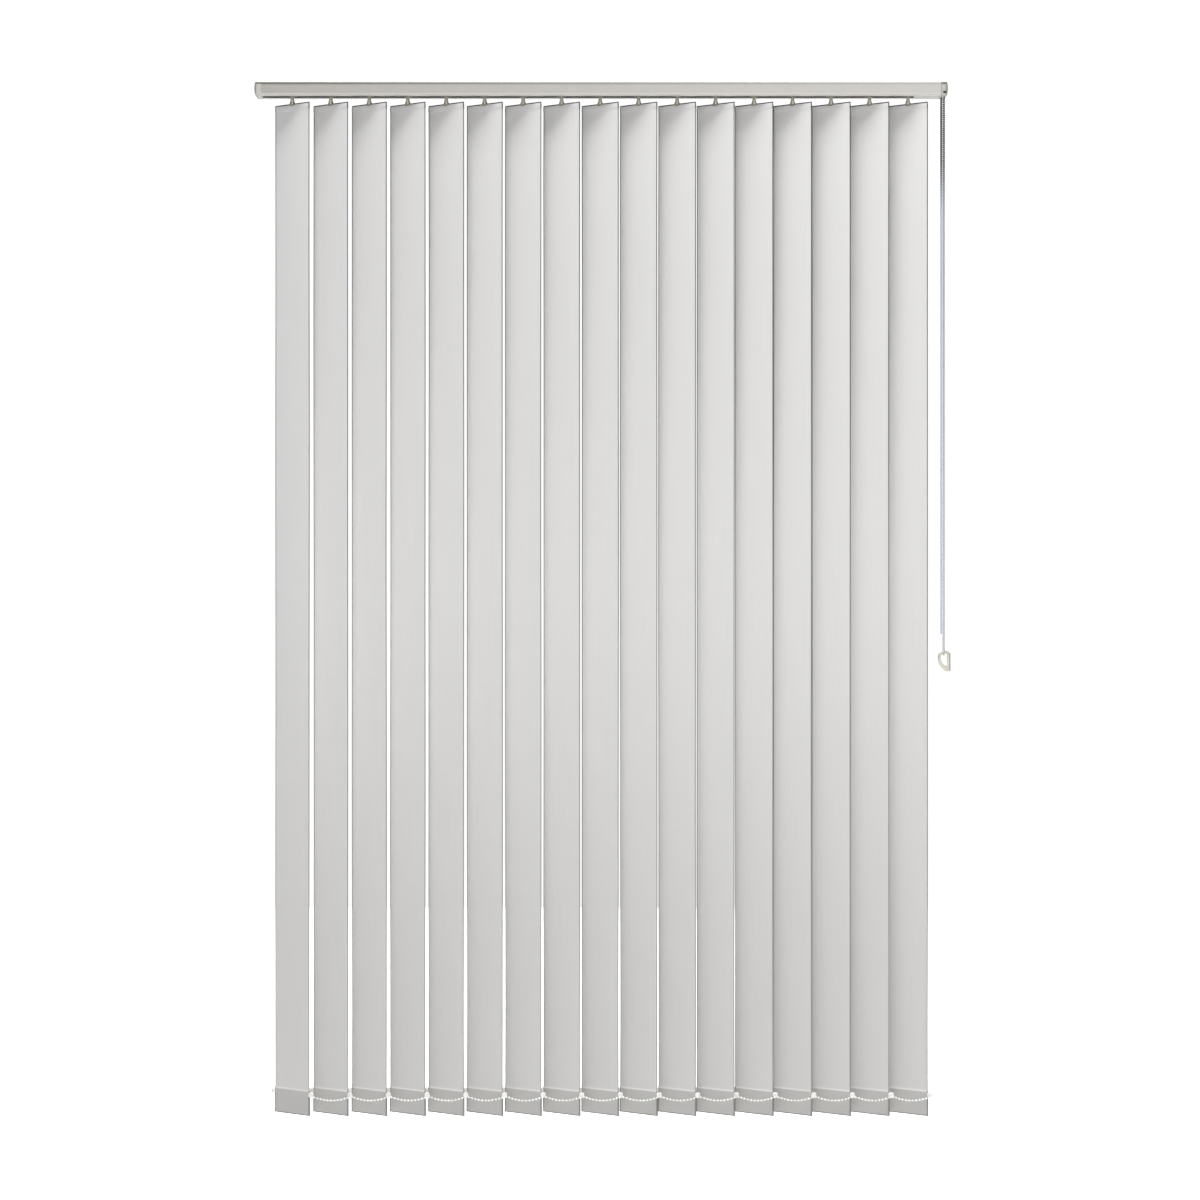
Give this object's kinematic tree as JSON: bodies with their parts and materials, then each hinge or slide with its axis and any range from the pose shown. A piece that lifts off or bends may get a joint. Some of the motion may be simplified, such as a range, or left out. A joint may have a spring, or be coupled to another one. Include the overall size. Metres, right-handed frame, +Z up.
{
  "type": "vertical blind",
  "caption": "Vertical louvre blind: aluminium headrail with sliding, turning carriers, hanging fabric louvres with link chains, draw cord and tilt chain.",
  "frame": {"origin": "on the ceiling plane, over the middle of the headrail, at the middle ceiling clip's screw hole", "axes": "+X along the headrail towards the control end, -Y towards the room, +Z up"},
  "size_m": [1.445, 0.056, 2.141],
  "materials": {
    "rail": "white-grey powder-coated aluminium",
    "cap_plastic": "moulded beige-white plastic",
    "clip_steel": "pressed zinc-plated steel",
    "rod_aluminium": "extruded, plain",
    "carrier_plastic": "moulded acetal",
    "hook_plastic": "moulded olive-beige plastic hook; white weight and clips",
    "louvre_fabric": "woven polyester, stiffened, light grey-white",
    "link_plastic": "white plastic",
    "draw_cord": "braided polyester cord, dark blue-grey",
    "tilt_chain": "plastic bead chain, dark blue-grey",
    "safety_plastic": "clear-white moulded plastic"
  },
  "bodies": {
    "root": {"headrail": "rail", "end_caps": "cap_plastic", "ceiling_clips": "clip_steel", "control_chain": "tilt_chain", "draw_cord": "draw_cord", "safety_clip": "safety_plastic", "carrier_17": "carrier_plastic"},
    "carrier_01": {"carrier_01": "carrier_plastic"},
    "carrier_02": {"carrier_02": "carrier_plastic"},
    "carrier_03": {"carrier_03": "carrier_plastic"},
    "carrier_04": {"carrier_04": "carrier_plastic"},
    "carrier_05": {"carrier_05": "carrier_plastic"},
    "carrier_06": {"carrier_06": "carrier_plastic"},
    "carrier_07": {"carrier_07": "carrier_plastic"},
    "carrier_08": {"carrier_08": "carrier_plastic"},
    "carrier_09": {"carrier_09": "carrier_plastic"},
    "carrier_10": {"carrier_10": "carrier_plastic"},
    "carrier_11": {"carrier_11": "carrier_plastic"},
    "carrier_12": {"carrier_12": "carrier_plastic"},
    "carrier_13": {"carrier_13": "carrier_plastic"},
    "carrier_14": {"carrier_14": "carrier_plastic"},
    "carrier_15": {"carrier_15": "carrier_plastic"},
    "carrier_16": {"carrier_16": "carrier_plastic"},
    "louvre_01": {"fittings_01": "hook_plastic", "louvre_01": "louvre_fabric"},
    "louvre_02": {"fittings_02": "hook_plastic", "louvre_02": "louvre_fabric"},
    "louvre_03": {"fittings_03": "hook_plastic", "louvre_03": "louvre_fabric"},
    "louvre_04": {"fittings_04": "hook_plastic", "louvre_04": "louvre_fabric"},
    "louvre_05": {"fittings_05": "hook_plastic", "louvre_05": "louvre_fabric"},
    "louvre_06": {"fittings_06": "hook_plastic", "louvre_06": "louvre_fabric"},
    "louvre_07": {"fittings_07": "hook_plastic", "louvre_07": "louvre_fabric"},
    "louvre_08": {"fittings_08": "hook_plastic", "louvre_08": "louvre_fabric"},
    "louvre_09": {"fittings_09": "hook_plastic", "louvre_09": "louvre_fabric"},
    "louvre_10": {"fittings_10": "hook_plastic", "louvre_10": "louvre_fabric"},
    "louvre_11": {"fittings_11": "hook_plastic", "louvre_11": "louvre_fabric"},
    "louvre_12": {"fittings_12": "hook_plastic", "louvre_12": "louvre_fabric"},
    "louvre_13": {"fittings_13": "hook_plastic", "louvre_13": "louvre_fabric"},
    "louvre_14": {"fittings_14": "hook_plastic", "louvre_14": "louvre_fabric"},
    "louvre_15": {"fittings_15": "hook_plastic", "louvre_15": "louvre_fabric"},
    "louvre_16": {"fittings_16": "hook_plastic", "louvre_16": "louvre_fabric"},
    "louvre_17": {"fittings_17": "hook_plastic", "louvre_17": "louvre_fabric"},
    "tilt_rod": {"tilt_rod": "rod_aluminium"},
    "front_link_chain": {"front_link_chain": "link_plastic"},
    "rear_link_chain": {"rear_link_chain": "link_plastic"}
  },
  "joints": [
    {"name": "traverse", "type": "slide", "parent": "root", "child": "carrier_01", "axis": [1, 0, 0], "range_m": [0, 0.928]},
    {"name": "traverse_02", "type": "slide", "parent": "root", "child": "carrier_02", "axis": [1, 0, 0], "range_m": [0, 0.87]},
    {"name": "traverse_03", "type": "slide", "parent": "root", "child": "carrier_03", "axis": [1, 0, 0], "range_m": [0, 0.812]},
    {"name": "traverse_04", "type": "slide", "parent": "root", "child": "carrier_04", "axis": [1, 0, 0], "range_m": [0, 0.754]},
    {"name": "traverse_05", "type": "slide", "parent": "root", "child": "carrier_05", "axis": [1, 0, 0], "range_m": [0, 0.696]},
    {"name": "traverse_06", "type": "slide", "parent": "root", "child": "carrier_06", "axis": [1, 0, 0], "range_m": [0, 0.638]},
    {"name": "traverse_07", "type": "slide", "parent": "root", "child": "carrier_07", "axis": [1, 0, 0], "range_m": [0, 0.58]},
    {"name": "traverse_08", "type": "slide", "parent": "root", "child": "carrier_08", "axis": [1, 0, 0], "range_m": [0, 0.522]},
    {"name": "traverse_09", "type": "slide", "parent": "root", "child": "carrier_09", "axis": [1, 0, 0], "range_m": [0, 0.464]},
    {"name": "traverse_10", "type": "slide", "parent": "root", "child": "carrier_10", "axis": [1, 0, 0], "range_m": [0, 0.406]},
    {"name": "traverse_11", "type": "slide", "parent": "root", "child": "carrier_11", "axis": [1, 0, 0], "range_m": [0, 0.348]},
    {"name": "traverse_12", "type": "slide", "parent": "root", "child": "carrier_12", "axis": [1, 0, 0], "range_m": [0, 0.29]},
    {"name": "traverse_13", "type": "slide", "parent": "root", "child": "carrier_13", "axis": [1, 0, 0], "range_m": [0, 0.232]},
    {"name": "traverse_14", "type": "slide", "parent": "root", "child": "carrier_14", "axis": [1, 0, 0], "range_m": [0, 0.174]},
    {"name": "traverse_15", "type": "slide", "parent": "root", "child": "carrier_15", "axis": [1, 0, 0], "range_m": [0, 0.116]},
    {"name": "traverse_16", "type": "slide", "parent": "root", "child": "carrier_16", "axis": [1, 0, 0], "range_m": [0, 0.058]},
    {"name": "tilt_01", "type": "hinge", "parent": "carrier_01", "child": "louvre_01", "pos_m": [-0.642, 0, -0.041], "axis": [0, 0, -1], "range_deg": [-15.8, 134.2]},
    {"name": "tilt_02", "type": "hinge", "parent": "carrier_02", "child": "louvre_02", "pos_m": [-0.562, 0, -0.041], "axis": [0, 0, -1], "range_deg": [-15.8, 134.2]},
    {"name": "tilt_03", "type": "hinge", "parent": "carrier_03", "child": "louvre_03", "pos_m": [-0.482, 0, -0.041], "axis": [0, 0, -1], "range_deg": [-15.8, 134.2]},
    {"name": "tilt_04", "type": "hinge", "parent": "carrier_04", "child": "louvre_04", "pos_m": [-0.402, 0, -0.041], "axis": [0, 0, -1], "range_deg": [-15.8, 134.2]},
    {"name": "tilt_05", "type": "hinge", "parent": "carrier_05", "child": "louvre_05", "pos_m": [-0.322, 0, -0.041], "axis": [0, 0, -1], "range_deg": [-15.8, 134.2]},
    {"name": "tilt_06", "type": "hinge", "parent": "carrier_06", "child": "louvre_06", "pos_m": [-0.242, 0, -0.041], "axis": [0, 0, -1], "range_deg": [-15.8, 134.2]},
    {"name": "tilt_07", "type": "hinge", "parent": "carrier_07", "child": "louvre_07", "pos_m": [-0.162, 0, -0.041], "axis": [0, 0, -1], "range_deg": [-15.8, 134.2]},
    {"name": "tilt_08", "type": "hinge", "parent": "carrier_08", "child": "louvre_08", "pos_m": [-0.082, 0, -0.041], "axis": [0, 0, -1], "range_deg": [-15.8, 134.2]},
    {"name": "tilt_09", "type": "hinge", "parent": "carrier_09", "child": "louvre_09", "pos_m": [-0.002, 0, -0.041], "axis": [0, 0, -1], "range_deg": [-15.8, 134.2]},
    {"name": "tilt_10", "type": "hinge", "parent": "carrier_10", "child": "louvre_10", "pos_m": [0.078, 0, -0.041], "axis": [0, 0, -1], "range_deg": [-15.8, 134.2]},
    {"name": "tilt_11", "type": "hinge", "parent": "carrier_11", "child": "louvre_11", "pos_m": [0.158, 0, -0.041], "axis": [0, 0, -1], "range_deg": [-15.8, 134.2]},
    {"name": "tilt_12", "type": "hinge", "parent": "carrier_12", "child": "louvre_12", "pos_m": [0.238, 0, -0.041], "axis": [0, 0, -1], "range_deg": [-15.8, 134.2]},
    {"name": "tilt_13", "type": "hinge", "parent": "carrier_13", "child": "louvre_13", "pos_m": [0.318, 0, -0.041], "axis": [0, 0, -1], "range_deg": [-15.8, 134.2]},
    {"name": "tilt_14", "type": "hinge", "parent": "carrier_14", "child": "louvre_14", "pos_m": [0.398, 0, -0.041], "axis": [0, 0, -1], "range_deg": [-15.8, 134.2]},
    {"name": "tilt_15", "type": "hinge", "parent": "carrier_15", "child": "louvre_15", "pos_m": [0.478, 0, -0.041], "axis": [0, 0, -1], "range_deg": [-15.8, 134.2]},
    {"name": "tilt_16", "type": "hinge", "parent": "carrier_16", "child": "louvre_16", "pos_m": [0.558, 0, -0.041], "axis": [0, 0, -1], "range_deg": [-15.8, 134.2]},
    {"name": "tilt", "type": "hinge", "parent": "root", "child": "louvre_17", "pos_m": [0.638, 0, -0.041], "axis": [0, 0, -1], "range_deg": [-15.8, 134.2]},
    {"name": "rod_spin", "type": "hinge", "parent": "root", "child": "tilt_rod", "pos_m": [0, 0.0086, -0.014], "axis": [1, 0, 0], "range_deg": [-94.8, 805.2]},
    {"name": "front_links", "type": "hinge", "parent": "louvre_17", "child": "front_link_chain", "pos_m": [0.68267, -0.02663, -2.1006], "axis": [0, 0, -1], "range_deg": [-134.2, 15.8]},
    {"name": "rear_links", "type": "hinge", "parent": "louvre_17", "child": "rear_link_chain", "pos_m": [0.59333, 0.02663, -2.1006], "axis": [0, 0, -1], "range_deg": [-134.2, 15.8]}
  ],
  "couplings": [
    {"joint": "traverse_02", "follows": "traverse", "ratio": 0.9375},
    {"joint": "traverse_03", "follows": "traverse", "ratio": 0.875},
    {"joint": "traverse_04", "follows": "traverse", "ratio": 0.8125},
    {"joint": "traverse_05", "follows": "traverse", "ratio": 0.75},
    {"joint": "traverse_06", "follows": "traverse", "ratio": 0.6875},
    {"joint": "traverse_07", "follows": "traverse", "ratio": 0.625},
    {"joint": "traverse_08", "follows": "traverse", "ratio": 0.5625},
    {"joint": "traverse_09", "follows": "traverse", "ratio": 0.5},
    {"joint": "traverse_10", "follows": "traverse", "ratio": 0.4375},
    {"joint": "traverse_11", "follows": "traverse", "ratio": 0.375},
    {"joint": "traverse_12", "follows": "traverse", "ratio": 0.3125},
    {"joint": "traverse_13", "follows": "traverse", "ratio": 0.25},
    {"joint": "traverse_14", "follows": "traverse", "ratio": 0.1875},
    {"joint": "traverse_15", "follows": "traverse", "ratio": 0.125},
    {"joint": "traverse_16", "follows": "traverse", "ratio": 0.0625},
    {"joint": "tilt_01", "follows": "tilt", "ratio": 1},
    {"joint": "tilt_02", "follows": "tilt", "ratio": 1},
    {"joint": "tilt_03", "follows": "tilt", "ratio": 1},
    {"joint": "tilt_04", "follows": "tilt", "ratio": 1},
    {"joint": "tilt_05", "follows": "tilt", "ratio": 1},
    {"joint": "tilt_06", "follows": "tilt", "ratio": 1},
    {"joint": "tilt_07", "follows": "tilt", "ratio": 1},
    {"joint": "tilt_08", "follows": "tilt", "ratio": 1},
    {"joint": "tilt_09", "follows": "tilt", "ratio": 1},
    {"joint": "tilt_10", "follows": "tilt", "ratio": 1},
    {"joint": "tilt_11", "follows": "tilt", "ratio": 1},
    {"joint": "tilt_12", "follows": "tilt", "ratio": 1},
    {"joint": "tilt_13", "follows": "tilt", "ratio": 1},
    {"joint": "tilt_14", "follows": "tilt", "ratio": 1},
    {"joint": "tilt_15", "follows": "tilt", "ratio": 1},
    {"joint": "tilt_16", "follows": "tilt", "ratio": 1},
    {"joint": "rod_spin", "follows": "tilt", "ratio": 6},
    {"joint": "front_links", "follows": "tilt", "ratio": -1},
    {"joint": "rear_links", "follows": "tilt", "ratio": -1}
  ]
}
